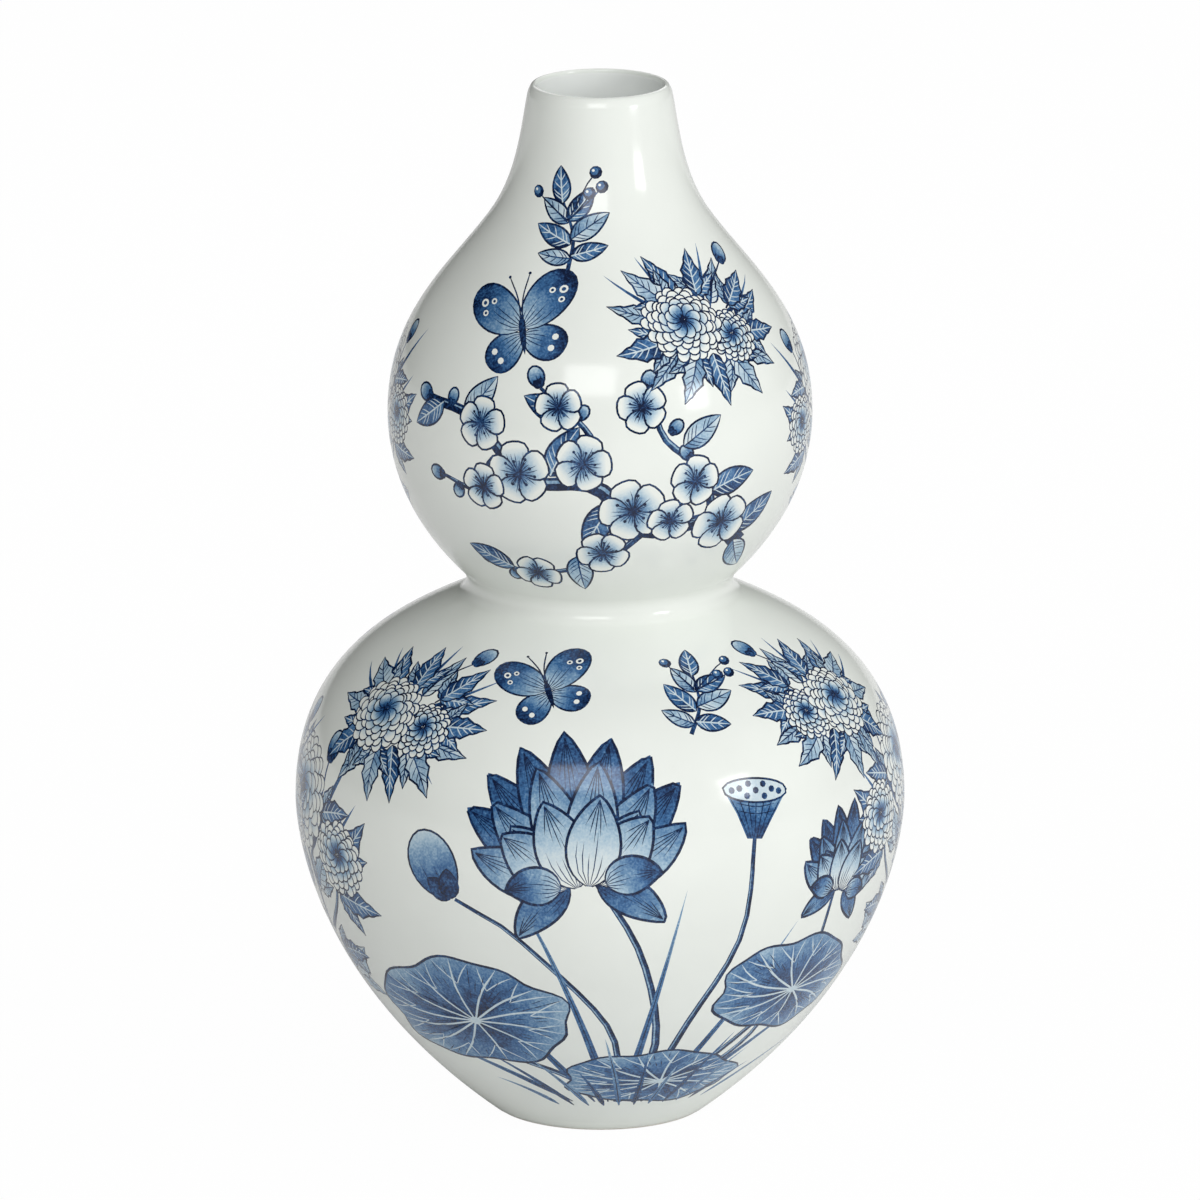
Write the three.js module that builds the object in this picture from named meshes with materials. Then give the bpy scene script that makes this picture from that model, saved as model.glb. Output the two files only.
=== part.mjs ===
import * as THREE from 'three';

// Gourd vase: sections of thrown porcelain, luted together with slip.
// Millimetres. +Z is up, and the foot ring stands on z = 0.

// Outside shape: the radius of each ring, and the rise from each to the next. Together 500 tall.
const footRadius = 50.4;
const bodyRise = 153;
const lowerBellyRadius = 145.2;
const shoulderRise = 106.4;
const waistRadius = 63.5;
const bulbRise = 81.9;
const upperBellyRadius = 100.7;
const ogeeRise = 96.2;
const neckBaseRadius = 52.1;
const neckRise = 62.5;
const lipRadius = 33.6;

// How the outline leans where its curves meet, and the round at the waist
const bodyFlare = THREE.MathUtils.degToRad(37);
const waistFillet = 8;
const neckLean = THREE.MathUtils.degToRad(35);
const lipLean = THREE.MathUtils.degToRad(13);

// How far each bulb turns round the waist before its own curve begins
const shoulderTurn = THREE.MathUtils.degToRad(65);
const upperBulbTurn = THREE.MathUtils.degToRad(44);

// Lengths of the curve handles: how full each curve is at its two ends
const bodyHandleAtFoot = 108;
const bodyHandleAtBelly = 18;
const shoulderHandleAtBelly = 65;
const shoulderHandleAtWaist = 35.3;
const bulbHandleAtWaist = 8.4;
const bulbHandleAtBelly = 43.3;
const ogeeHandleAtBelly = 47;
const ogeeHandleAtNeck = 33;
const neckHandleAtBase = 24.5;
const neckHandleAtLip = 16;

// Thicknesses
const wall = 6.5;
const lipThickness = 3.6;
const floorThickness = 8;
const footHeight = 6;
const footWidth = 8;
const footOuterEdge = 1.2;
const footInnerRound = 1.2;

// Joints: the lower section ends in an inner tongue and the upper one in an outer skirt
const slipThickness = 1;
const lapLength = 6;

// Facets
const roundSteps = 48;
const bodySteps = 8;
const shoulderSteps = 8;
const filletSteps = 4;
const bulbSteps = 6;
const ogeeSteps = 7;
const neckSteps = 6;
const edgeSteps = 3;
const heightTolerance = 1e-9;

// The outside outline, from the foot's edge up to the lip, in radius and height
const up = (length) => new THREE.Vector2(0, length);
const leaning = (angle, length) =>
  new THREE.Vector2(-Math.sin(angle), Math.cos(angle)).multiplyScalar(length);

const lowerBellyHeight = bodyRise;
const waistHeight = lowerBellyHeight + shoulderRise;
const upperBellyHeight = waistHeight + bulbRise;
const neckBaseHeight = upperBellyHeight + ogeeRise;
const overallHeight = neckBaseHeight + neckRise;
const foot = new THREE.Vector2(footRadius, 0);
const lowerBelly = new THREE.Vector2(lowerBellyRadius, lowerBellyHeight);
const upperBelly = new THREE.Vector2(upperBellyRadius, upperBellyHeight);
const neckBase = new THREE.Vector2(neckBaseRadius, neckBaseHeight);
const lipRound = lipThickness / 2;
const lipHeight = overallHeight - lipRound * (1 - Math.sin(lipLean));
const lip = new THREE.Vector2(lipRadius, lipHeight);

// Points on the round of the waist, by their turn below (negative) or above the narrowest ring
const filletRadius = waistRadius + waistFillet;
const onFillet = (turn) => new THREE.Vector2(
  filletRadius - waistFillet * Math.cos(turn),
  waistHeight + waistFillet * Math.sin(turn),
);
const shoulderEnd = onFillet(-shoulderTurn);
const bulbStart = onFillet(upperBulbTurn);
const filletArc = (from, to) => new THREE.EllipseCurve(
  filletRadius, waistHeight, waistFillet, waistFillet, Math.PI - from, Math.PI - to, true,
);

const bodyCurve = new THREE.CubicBezierCurve(
  foot,
  foot.clone().add(leaning(bodyFlare - Math.PI / 2, bodyHandleAtFoot)),
  lowerBelly.clone().sub(up(bodyHandleAtBelly)),
  lowerBelly,
);
const shoulderCurve = new THREE.CubicBezierCurve(
  lowerBelly,
  lowerBelly.clone().add(up(shoulderHandleAtBelly)),
  shoulderEnd.clone().sub(leaning(shoulderTurn, shoulderHandleAtWaist)),
  shoulderEnd,
);
const bulbCurve = new THREE.CubicBezierCurve(
  bulbStart,
  bulbStart.clone().add(leaning(-upperBulbTurn, bulbHandleAtWaist)),
  upperBelly.clone().sub(up(bulbHandleAtBelly)),
  upperBelly,
);
const ogeeCurve = new THREE.CubicBezierCurve(
  upperBelly,
  upperBelly.clone().add(up(ogeeHandleAtBelly)),
  neckBase.clone().sub(leaning(neckLean, ogeeHandleAtNeck)),
  neckBase,
);
const neckCurve = new THREE.CubicBezierCurve(
  neckBase,
  neckBase.clone().add(leaning(neckLean, neckHandleAtBase)),
  lip.clone().sub(leaning(lipLean, neckHandleAtLip)),
  lip,
);

const spans = [
  { curve: bodyCurve, steps: bodySteps },
  { curve: shoulderCurve, steps: shoulderSteps },
  { curve: filletArc(-shoulderTurn, 0), steps: filletSteps },
  { curve: filletArc(0, upperBulbTurn), steps: filletSteps },
  { curve: bulbCurve, steps: bulbSteps },
  { curve: ogeeCurve, steps: ogeeSteps },
  { curve: neckCurve, steps: neckSteps },
];
let travelled = 0;
for (const span of spans) {
  span.start = travelled;
  span.length = span.curve.getLength();
  travelled += span.length;
  span.end = travelled;
}
const [body, shoulder, filletBelow, filletAbove, bulb, ogee, neckSpan] = spans;

// A point of the wall: how far along the outline, and how deep, from 0 outside to 1 inside
const thicknessAt = (along) => {
  const share = Math.max(0, (along - neckSpan.start) / neckSpan.length);
  return THREE.MathUtils.lerp(wall, lipThickness, share);
};
const wallPoint = (along, depth) => {
  const span = spans.find((one) => along <= one.end) ?? neckSpan;
  const share = THREE.MathUtils.clamp((along - span.start) / span.length, 0, 1);
  const point = span.curve.getPointAt(share);
  const tangent = span.curve.getTangentAt(share);
  const inward = new THREE.Vector2(-tangent.y, tangent.x);
  return point.add(inward.multiplyScalar(depth * thicknessAt(along)));
};

// The places of the facets along some spans, strictly between two ends
const facetsBetween = (from, to, someSpans) => {
  const places = [];
  for (const span of someSpans) {
    for (let step = 0; step <= span.steps; step += 1) {
      places.push(span.start + (span.length * step) / span.steps);
    }
  }
  const margin = slipThickness;
  return [...new Set(places)].filter((place) => place > from + margin && place < to - margin);
};

// A joint across the wall at one place. Both edges run from the outside to the inside.
const joint = (place, lap) => {
  const outside = place - lap / 2;
  const inside = place + lap / 2;
  const halfSlip = slipThickness / 2;
  const depthShift = halfSlip / thicknessAt(place);
  const edge = (side) => {
    const step = side * halfSlip;
    const middle = 0.5 - side * depthShift;
    const ends = [wallPoint(outside + step, 0), wallPoint(inside + step, 1)];
    if (lap === 0) return { points: ends, outside: outside + step, inside: inside + step };
    const points = [
      ends[0],
      wallPoint(outside + step, middle),
      wallPoint(inside + step, middle),
      ends[1],
    ];
    return { points, outside: outside + step, inside: inside + step };
  };
  return { below: edge(-1), above: edge(1) };
};

const lowerBellyJoint = joint(body.end, lapLength);
const waistJoint = joint(filletBelow.end, 0);
const upperBellyJoint = joint(bulb.end, lapLength);
const neckJoint = joint(ogee.end, lapLength);

// The outlines of the sections, each going up outside and down inside
const outerWall = (from, to, someSpans) =>
  facetsBetween(from, to, someSpans).map((place) => wallPoint(place, 0));
const innerWall = (from, to, someSpans) =>
  facetsBetween(from, to, someSpans).map((place) => wallPoint(place, 1)).reverse();
const section = (low, high, someSpans) => [
  ...outerWall(low.outside, high.outside, someSpans),
  ...high.points,
  ...innerWall(low.inside, high.inside, someSpans),
  ...[...low.points].reverse(),
];

// The place on the lower body's wall, so deep in it, that lies at some height
const placeAtHeight = (height, depth) => {
  let low = body.start;
  let high = body.end;
  while (high - low > heightTolerance) {
    const middle = (low + high) / 2;
    if (wallPoint(middle, depth).y < height) low = middle;
    else high = middle;
  }
  return low;
};
const bodyBottom = footHeight + slipThickness;
const floorTop = bodyBottom + floorThickness;
const footTopPlace = placeAtHeight(footHeight, 0);
const bodyBottomPlace = placeAtHeight(bodyBottom, 0);
const floorPlace = placeAtHeight(floorTop, 1);

// A quarter or half round, from one angle to another, with its end points
const roundEdge = (centreRadius, centreHeight, size, from, to) => {
  const arc = new THREE.EllipseCurve(
    centreRadius, centreHeight, size, size, from, to, to < from,
  );
  return arc.getPoints(edgeSteps);
};

// The foot ring's outside runs on from the body, down to a small edge at its flat underside
const footInside = footRadius - footWidth;
const footEdge = wallPoint(footOuterEdge, 0);
const footTop = new THREE.Vector2(wallPoint(footTopPlace, 0).x, footHeight);
const bodyBottomEdge = new THREE.Vector2(wallPoint(bodyBottomPlace, 0).x, bodyBottom);
const footOutline = [
  ...roundEdge(footInside + footInnerRound, footInnerRound, footInnerRound, Math.PI, 1.5 * Math.PI),
  new THREE.Vector2(footRadius - footOuterEdge, 0),
  footEdge,
  footTop,
  new THREE.Vector2(footInside, footHeight),
];
const footSlipOutline = [
  new THREE.Vector2(footInside, footHeight),
  footTop,
  bodyBottomEdge,
  new THREE.Vector2(footInside, bodyBottom),
];

const lowerBowlOutline = [
  new THREE.Vector2(0, bodyBottom),
  new THREE.Vector2(footInside, bodyBottom),
  bodyBottomEdge,
  ...outerWall(bodyBottomPlace, lowerBellyJoint.below.outside, [body]),
  ...lowerBellyJoint.below.points,
  ...innerWall(floorPlace, lowerBellyJoint.below.inside, [body, shoulder]),
  new THREE.Vector2(wallPoint(floorPlace, 1).x, floorTop),
  new THREE.Vector2(0, floorTop),
];
const lowerShoulderOutline =
  section(lowerBellyJoint.above, waistJoint.below, [shoulder, filletBelow]);
const upperBowlOutline =
  section(waistJoint.above, upperBellyJoint.below, [filletAbove, bulb]);
const upperShoulderOutline =
  section(upperBellyJoint.above, neckJoint.below, [ogee]);

// The lip is a half round, with one ring of points at its very top
const lipCentre = lip.clone().sub(
  new THREE.Vector2(Math.cos(lipLean), Math.sin(lipLean)).multiplyScalar(lipRound),
);
const neckOutline = [
  ...outerWall(neckJoint.above.outside, neckSpan.end, [neckSpan]),
  ...roundEdge(lipCentre.x, lipCentre.y, lipRound, lipLean, Math.PI / 2),
  ...roundEdge(lipCentre.x, lipCentre.y, lipRound, Math.PI / 2, Math.PI + lipLean).slice(1),
  ...innerWall(neckJoint.above.inside, neckSpan.end, [neckSpan]),
  ...[...neckJoint.above.points].reverse(),
];

const slipOutline = ({ below, above }) => [...below.points, ...[...above.points].reverse()].reverse();

// Materials
const glazedPorcelain = { color: 0xe9eeec, roughness: 0.12, metalness: 0 };
const barePorcelain = { color: 0xe6dccb, roughness: 0.85, metalness: 0 };
const firedSlip = { color: 0xdfe3df, roughness: 0.7, metalness: 0 };

const vase = new THREE.Group();
vase.name = 'gourd_vase';

// Turns an outline about the upright axis. One that keeps off the axis is closed on itself.
const addTurned = (name, outline, finish) => {
  const ends = [outline[0], outline[outline.length - 1]];
  const onAxis = ends.every((point) => point.x === 0);
  const points = onAxis ? outline : [...outline, outline[0].clone()];
  const geometry = new THREE.LatheGeometry(points, roundSteps);
  geometry.rotateX(Math.PI / 2);
  const mesh = new THREE.Mesh(geometry, new THREE.MeshStandardMaterial(finish));
  mesh.name = name;
  vase.add(mesh);
};

addTurned('foot_ring', footOutline, barePorcelain);
addTurned('foot_slip_seam', footSlipOutline, firedSlip);
addTurned('lower_bowl', lowerBowlOutline, glazedPorcelain);
addTurned('lower_belly_slip_seam', slipOutline(lowerBellyJoint), firedSlip);
addTurned('lower_shoulder', lowerShoulderOutline, glazedPorcelain);
addTurned('waist_slip_seam', slipOutline(waistJoint), firedSlip);
addTurned('upper_bowl', upperBowlOutline, glazedPorcelain);
addTurned('upper_belly_slip_seam', slipOutline(upperBellyJoint), firedSlip);
addTurned('upper_shoulder', upperShoulderOutline, glazedPorcelain);
addTurned('neck_slip_seam', slipOutline(neckJoint), firedSlip);
addTurned('neck', neckOutline, glazedPorcelain);

export default vase;
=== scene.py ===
import math
import random

import bmesh
import bpy
import numpy as np
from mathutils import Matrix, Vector
from mathutils.geometry import delaunay_2d_cdt


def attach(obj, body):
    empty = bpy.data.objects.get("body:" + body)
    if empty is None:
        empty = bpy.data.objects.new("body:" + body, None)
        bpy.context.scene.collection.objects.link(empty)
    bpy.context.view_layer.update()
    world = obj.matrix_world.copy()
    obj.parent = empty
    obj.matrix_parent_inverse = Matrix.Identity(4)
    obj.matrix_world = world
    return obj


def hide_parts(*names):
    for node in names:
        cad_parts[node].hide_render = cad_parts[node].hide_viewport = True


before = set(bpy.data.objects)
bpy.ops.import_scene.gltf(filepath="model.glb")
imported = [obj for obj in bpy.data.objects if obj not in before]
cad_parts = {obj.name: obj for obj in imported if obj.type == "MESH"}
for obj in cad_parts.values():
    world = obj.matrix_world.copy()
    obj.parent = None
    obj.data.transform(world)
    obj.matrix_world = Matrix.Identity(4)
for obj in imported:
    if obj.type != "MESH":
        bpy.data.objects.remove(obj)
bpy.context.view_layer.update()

MM = 0.001

# Sizes in millimetres: the radius of each ring, and the rise from each ring to the next
FOOT_RADIUS = 50.4
BODY_RISE, LOWER_BELLY = 153.0, 145.2
SHOULDER_RISE, WAIST = 106.4, 63.5
BULB_RISE, UPPER_BELLY = 81.9, 100.7
OGEE_RISE, NECK_BASE = 96.2, 52.1
NECK_RISE, LIP = 62.5, 33.6

# Leans of the outline where its curves meet, and the round at the waist
BODY_FLARE, NECK_LEAN, LIP_LEAN = math.radians(37), math.radians(35), math.radians(13)
WAIST_FILLET = 8.0
SHOULDER_TURN, BULB_TURN = math.radians(65), math.radians(44)

# How far the handles of each curve reach, at its lower end and at its upper end
BODY_REACH, SHOULDER_REACH = (108, 18), (65, 35.3)
BULB_REACH, OGEE_REACH, NECK_REACH = (8.4, 43.3), (47, 33), (24.5, 16)

# Thicknesses, the foot and the lapped joints
WALL, LIP_THICKNESS, FLOOR = 6.5, 3.6, 8.0
FOOT_HEIGHT, FOOT_WIDTH, FOOT_EDGE = 6.0, 8.0, 1.2
SLIP, LAP = 1.0, 6.0

# The lip: the length, angle and radius of its outer bend, its start inside, and the handles of its inner bend
LIP_BEND, LIP_TURN, LIP_CURVE = 3.65, math.radians(30), 14.0
LIP_INSIDE, LIP_REACH = 0.6, (0.6, 1.2)

# Facets: columns round the vase, and the rows' spacing on the walls and in the waist's round
COLUMNS = 144
ROW, WAIST_ROW = 6.0, 0.9

lower_belly_z = BODY_RISE
waist_z = lower_belly_z + SHOULDER_RISE
upper_belly_z = waist_z + BULB_RISE
neck_base_z = upper_belly_z + OGEE_RISE
top_z = neck_base_z + NECK_RISE
foot_inside = FOOT_RADIUS - FOOT_WIDTH
body_bottom = FOOT_HEIGHT + SLIP
floor_top = body_bottom + FLOOR
lip_round = LIP_THICKNESS / 2


# The outline: radius and height all the way up the outside, measured by the way along it
def leaning(angle, length):
    return np.array([-math.sin(angle), math.cos(angle)]) * length


def upright(length):
    return np.array([0.0, length])


def curve(start, start_handle, end_handle, end, steps=600):
    t = np.linspace(0, 1, steps)[:, None]
    a, b, c, d = start, start + start_handle, end - end_handle, end
    return (1 - t) ** 3 * a + 3 * (1 - t) ** 2 * t * b + 3 * (1 - t) * t ** 2 * c + t ** 3 * d


def way_along(points):
    """How far along a line each of its points is."""
    return np.concatenate([[0], np.cumsum(np.linalg.norm(np.diff(points, axis=0), axis=1))])


def waist_round(first, last, steps=80):
    turn = np.linspace(first, last, steps)
    across = WAIST + WAIST_FILLET * (1 - np.cos(turn))
    return np.stack([across, waist_z + WAIST_FILLET * np.sin(turn)], 1)


foot_point = np.array([FOOT_RADIUS, 0.0])
lower_belly = np.array([LOWER_BELLY, lower_belly_z])
upper_belly = np.array([UPPER_BELLY, upper_belly_z])
neck_base = np.array([NECK_BASE, neck_base_z])
lip_edge = np.array([LIP, top_z - lip_round * (1 - math.sin(LIP_LEAN))])
below_waist = waist_round(-SHOULDER_TURN, 0)
above_waist = waist_round(0, BULB_TURN)
spans = [
    curve(foot_point, leaning(BODY_FLARE - math.pi / 2, BODY_REACH[0]), upright(BODY_REACH[1]), lower_belly),
    curve(lower_belly, upright(SHOULDER_REACH[0]), leaning(SHOULDER_TURN, SHOULDER_REACH[1]), below_waist[0]),
    below_waist,
    above_waist,
    curve(above_waist[-1], leaning(-BULB_TURN, BULB_REACH[0]), upright(BULB_REACH[1]), upper_belly),
    curve(upper_belly, upright(OGEE_REACH[0]), leaning(NECK_LEAN, OGEE_REACH[1]), neck_base),
    curve(neck_base, leaning(NECK_LEAN, NECK_REACH[0]), leaning(LIP_LEAN, NECK_REACH[1]), lip_edge),
]
outline = np.concatenate([spans[0]] + [span[1:] for span in spans[1:]])
travel = way_along(outline)
tangent = np.gradient(outline, travel, axis=0)
tangent /= np.linalg.norm(tangent, axis=1)[:, None]
ends = np.cumsum([0] + [len(span) - 1 for span in spans])
lower_belly_s, shoulder_s, waist_s, bulb_s, upper_belly_s, neck_s, lip_s = travel[ends[1:]]
skin_top = lip_s - LIP_BEND


def way_up(height):
    return np.interp(height, outline[:, 1], travel)


def radius_at(s):
    return np.interp(s, travel, outline[:, 0])


def facing(s):
    """The outward direction of the wall, across and up."""
    return np.interp(s, travel, tangent[:, 1]), -np.interp(s, travel, tangent[:, 0])


def wall_at(s, depth=0.0):
    """Radius and height at some way up the outline, so deep in the wall from 0 to 1."""
    across, rise = facing(s)
    thick = WALL + (LIP_THICKNESS - WALL) * np.clip((s - neck_s) / (lip_s - neck_s), 0, 1)
    radius, height = radius_at(s), np.interp(s, travel, outline[:, 1])
    return np.stack([radius - across * depth * thick, height - rise * depth * thick], -1)


# The painting: flat shapes on the unrolled wall, each with a strength of blue
NAVY, DEEP, MID, SOFT, PALE, BARE, CLEAR = 0.96, 0.84, 0.6, 0.38, 0.18, 0.0, -0.16
FINE, THIN, PLAIN, BOLD = 0.5, 0.75, 1.05, 1.4
painted = []
chance = random.Random(7)


def along(points, count):
    """A smooth line through some points, in even steps."""
    p = np.asarray(points, float)
    if len(p) == 2:
        return p[0] + (p[1] - p[0]) * np.linspace(0, 1, count)[:, None]
    q = np.vstack([2 * p[0] - p[1], p, 2 * p[-1] - p[-2]])
    t = np.linspace(0, len(p) - 1, 12 * len(p))
    i = np.minimum(t.astype(int), len(p) - 2)
    f = (t - i)[:, None]
    a, b, c, d = q[i], q[i + 1], q[i + 2], q[i + 3]
    fine = 0.5 * (2 * b + (c - a) * f + (2 * a - 5 * b + 4 * c - d) * f ** 2
                  + (3 * b - a - 3 * c + d) * f ** 3)
    way = way_along(fine)
    even = np.linspace(0, way[-1], count)
    return np.stack([np.interp(even, way, fine[:, k]) for k in (0, 1)], 1)


def sideways(path):
    d = np.gradient(path, axis=0)
    d /= np.maximum(np.linalg.norm(d, axis=1), 1e-9)[:, None]
    return np.stack([-d[:, 1], d[:, 0]], 1)


def bent(length, bend, count):
    """Points of an arc that starts upright and turns by so many degrees."""
    turn = math.radians(bend) * np.linspace(0, 1, count)
    middle = (turn[1:] + turn[:-1]) / 2
    step = length / (count - 1)
    x = np.concatenate([[0], np.cumsum(np.sin(middle) * step)])
    y = np.concatenate([[0], np.cumsum(np.cos(middle) * step)])
    return np.stack([x, y], 1)


class Brush:
    """Paints about one place on the wall, in millimetres to the right and up."""

    def __init__(self, angle, height, turn=0.0, size=1.0, flip=1):
        self.angle, self.s = math.radians(angle), float(way_up(height))
        self.turn, self.size, self.flip = math.radians(turn), size, flip

    def at(self, x, y, turn=0.0):
        """Another brush, set at a place of this one's picture."""
        other = Brush(0, 0, 0, self.size, self.flip)
        other.angle, other.s = self.place([(x, y)])[0]
        other.turn = self.turn + math.radians(turn) * self.flip
        return other

    def place(self, points):
        p = np.asarray(points, float) * self.size
        x, y = p[:, 0] * self.flip, p[:, 1]
        c, s = math.cos(self.turn), math.sin(self.turn)
        way = self.s + s * x + c * y
        return np.stack([self.angle + (c * x - s * y) / radius_at(way), way], 1)

    def fill(self, points, tone, far=None, base=None, tip=None):
        """A filled shape, of one tone or running from a tone at base to another at tip."""
        shape = self.place(points)
        if far is None:
            painted.append((shape, tone, tone, shape[0], shape[0]))
        else:
            painted.append((shape, tone, far, *self.place([base, tip])))

    def line(self, points, width, tone=NAVY, count=9, start=0.15, end=0.15):
        """A brush line that swells in the middle and thins towards its ends."""
        path = along(points, count)
        t = np.linspace(0, 1, count)
        swell = np.minimum(1, np.minimum(start + t * 3.2, end + (1 - t) * 3.2))
        half = (0.5 * width / self.size * swell)[:, None] * sideways(path)
        self.fill(np.vstack([path + half, (path - half)[::-1]]), tone)

    def dot(self, x, y, radius, tone=NAVY, count=8):
        a = np.linspace(0, 2 * math.pi, count, endpoint=False)
        self.fill(np.stack([x + radius * np.cos(a), y + radius * np.sin(a)], 1), tone)


def petal(brush, length, width, bend=0.0, blunt=0.5, tones=(SOFT, BARE), lines=4, weight=PLAIN):
    """One petal from its base upwards, shaded from the base, with fine lines drawn from it."""
    n = 8 if length * brush.size < 16 else 13
    t = 0.5 - 0.5 * np.cos(np.linspace(0, math.pi, n))
    half = t ** 0.62 * (1 - t) ** (1.05 - 0.68 * blunt)
    half = width / 2 * half / half.max()
    half[0] = width * 0.05
    arc = bent(length, bend, 33)
    spine = np.stack([np.interp(t, np.linspace(0, 1, 33), arc[:, k]) for k in (0, 1)], 1)
    side = sideways(spine)
    left, right = spine + side * half[:, None], spine - side * half[:, None]
    brush.fill(np.vstack([left, right[::-1]]), tones[0], tones[1], spine[0], spine[-1])
    for k in range(lines):
        across = (k + 0.5) / lines * 1.5 - 0.75
        reach = 0.42 + 0.2 * chance.random() - 0.14 * abs(across)
        m = max(3, int(n * reach) + 1)
        vein = spine[:m] + side[:m] * (half[:m] * across)[:, None]
        brush.line(vein, FINE, DEEP, 4, 0.6, 0.0)
    brush.line(np.vstack([left[:-1], right[::-1]]), weight, NAVY, 2 * n - 1, 0.4, 0.4)


def leaf(brush, length, width, bend=0.0, dark=True, teeth=0, veins=5):
    """A leaf with a darker half, a midrib and side veins; teeth makes its edge notched."""
    n = 4 * max(teeth, 2) + 3
    t = np.linspace(0, 1, n)
    half = width / 2 * np.sin(math.pi * t ** 0.78) ** 0.85
    if teeth:
        half = width / 2 * 3.6 * t ** 0.7 * (1 - t) ** 1.3
        half = half * (1.0 - 0.34 * ((t * teeth) % 1.0) * (t < 0.9))
    half[-1] = 0
    spine = bent(length, bend, n)
    side = sideways(spine) * half[:, None]
    left, right = spine + side, spine - side
    near, far, vein = (0.9, 0.52, PALE) if dark else (0.5, 0.12, DEEP)
    brush.fill(np.vstack([left, spine[::-1]]), near, far, spine[0], spine[-1])
    brush.fill(np.vstack([spine, right[::-1]]), far * 0.9, near * 0.85, spine[0], spine[-1])
    for k in range(veins):
        i = int((0.12 + 0.68 * k / veins) * (n - 1))
        j = min(n - 1, i + max(2, n // 6))
        for edge in (left, right):
            inner, outer = spine[i] * 0.42 + edge[j] * 0.58, spine[j] * 0.12 + edge[j] * 0.88
            brush.line([spine[i], inner, outer], FINE, vein, 4, 0.7, 0.1)
    brush.line(spine, THIN, vein, 7, 0.9, 0.1)
    brush.line(left, PLAIN, NAVY, n, 0.5, 0.3)
    brush.line(right, PLAIN, NAVY, n, 0.5, 0.3)


def trefoil(brush, length, dark=True):
    """Three notched leaves on one stem."""
    for turn, share in ((44, 0.68), (-42, 0.72), (0, 1.0)):
        one = brush.at(0, 0.12 * length, turn)
        leaf(one, length * share, length * share * 0.5, chance.uniform(-16, 16), dark == (turn <= 0), 4)
    brush.line([(0, 0), (0, 0.2 * length)], PLAIN, NAVY, 4, 0.9, 0.9)


def blade(brush, length, width, bend, tone=DEEP, far=MID):
    """A long narrow blade of grass."""
    t = np.linspace(0, 1, 9)
    half = width / 2 * np.minimum(1, t * 5 + 0.15) * (1 - t) ** 0.7
    spine = bent(length, bend, 9)
    side = sideways(spine) * half[:, None]
    brush.fill(np.vstack([spine + side, (spine - side)[::-1]]), tone, far, spine[0], spine[-1])
    brush.line(spine[:-1], FINE, NAVY, 6, 0.5, 0.0)


def stalk(brush, points, width, tone=DEEP, count=14):
    """A stalk or branch, thinner towards its end, with a lighter line along it."""
    path = along(points, count)
    t = np.linspace(0, 1, count)
    half = (0.65 * width * (1 - 0.5 * t))[:, None] * sideways(path)
    brush.fill(np.vstack([path + half, (path - half)[::-1]]), tone)
    if width > 1.6:
        brush.line(path[1:-1] + half[1:-1] * 0.3, width * 0.24, SOFT, count - 2, 0.3, 0.3)
        brush.line(path - half, THIN, NAVY, count, 0.6, 0.6)


def chrysanthemum(brush, radius, rings=4, squash=0.9, lift=0.12):
    """A full round bloom: rings of narrow petals, each ring over the one outside it."""
    for ring in range(rings):
        share = 1 - ring / rings
        count = int(7 + 12 * share)
        reach = radius * (0.3 + 0.7 * share ** 0.85)
        inner = radius * 0.52 * share ** 1.6
        tones = (0.68, CLEAR) if share > 0.5 else (0.86, BARE)
        for k in range(count):
            angle = 360 * (k + 0.5 * (ring % 2)) / count + chance.uniform(-5, 5)
            a = math.radians(angle)
            long = (reach - inner) * (0.92 + 0.16 * chance.random())
            long *= 1 - (1 - squash) * abs(math.cos(a))
            y = inner * math.cos(a) * squash + radius * lift * (1 - share)
            wide = 2 * math.pi * reach / count * 0.95
            one = brush.at(inner * math.sin(a), y, -angle)
            petal(one, long, wide, chance.uniform(-16, 16), 0.85, tones, 2, THIN)
    for k in range(9):
        r = radius * 0.1 * math.sqrt(k / 9)
        brush.dot(r * math.cos(k * 2.4), radius * lift + r * math.sin(k * 2.4), radius * 0.035, NAVY, 6)


def plum_blossom(brush, radius):
    """Five round petals, with a tuft of stamens."""
    for k in range(5):
        a = math.radians(72 * k)
        one = brush.at(0.12 * radius * math.sin(a), 0.12 * radius * math.cos(a), -72 * k)
        long = radius * (0.86 + 0.1 * chance.random())
        petal(one, long, radius * 0.98, chance.uniform(-8, 8), 1.0, (MID, CLEAR), 5)
    brush.dot(0, 0, radius * 0.15, DEEP)
    for k in range(9):
        a = math.radians(40 * k + chance.uniform(-8, 8))
        reach = radius * (0.42 + 0.12 * (k % 2))
        tip = np.array([reach * math.cos(a), reach * math.sin(a)])
        brush.line([0.08 * tip, tip], FINE, NAVY, 3, 1, 1)
        brush.dot(*tip, radius * 0.06, NAVY, 6)


def bud(brush, length):
    """A closed bud in its small cup."""
    petal(brush, length, length * 0.72, 0, 0.75, (DEEP, PALE), 3)
    for turn in (24, -24):
        petal(brush.at(0, 0, turn), length * 0.42, length * 0.3, 0, 0.3, (DEEP, DEEP), 0, THIN)


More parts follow.
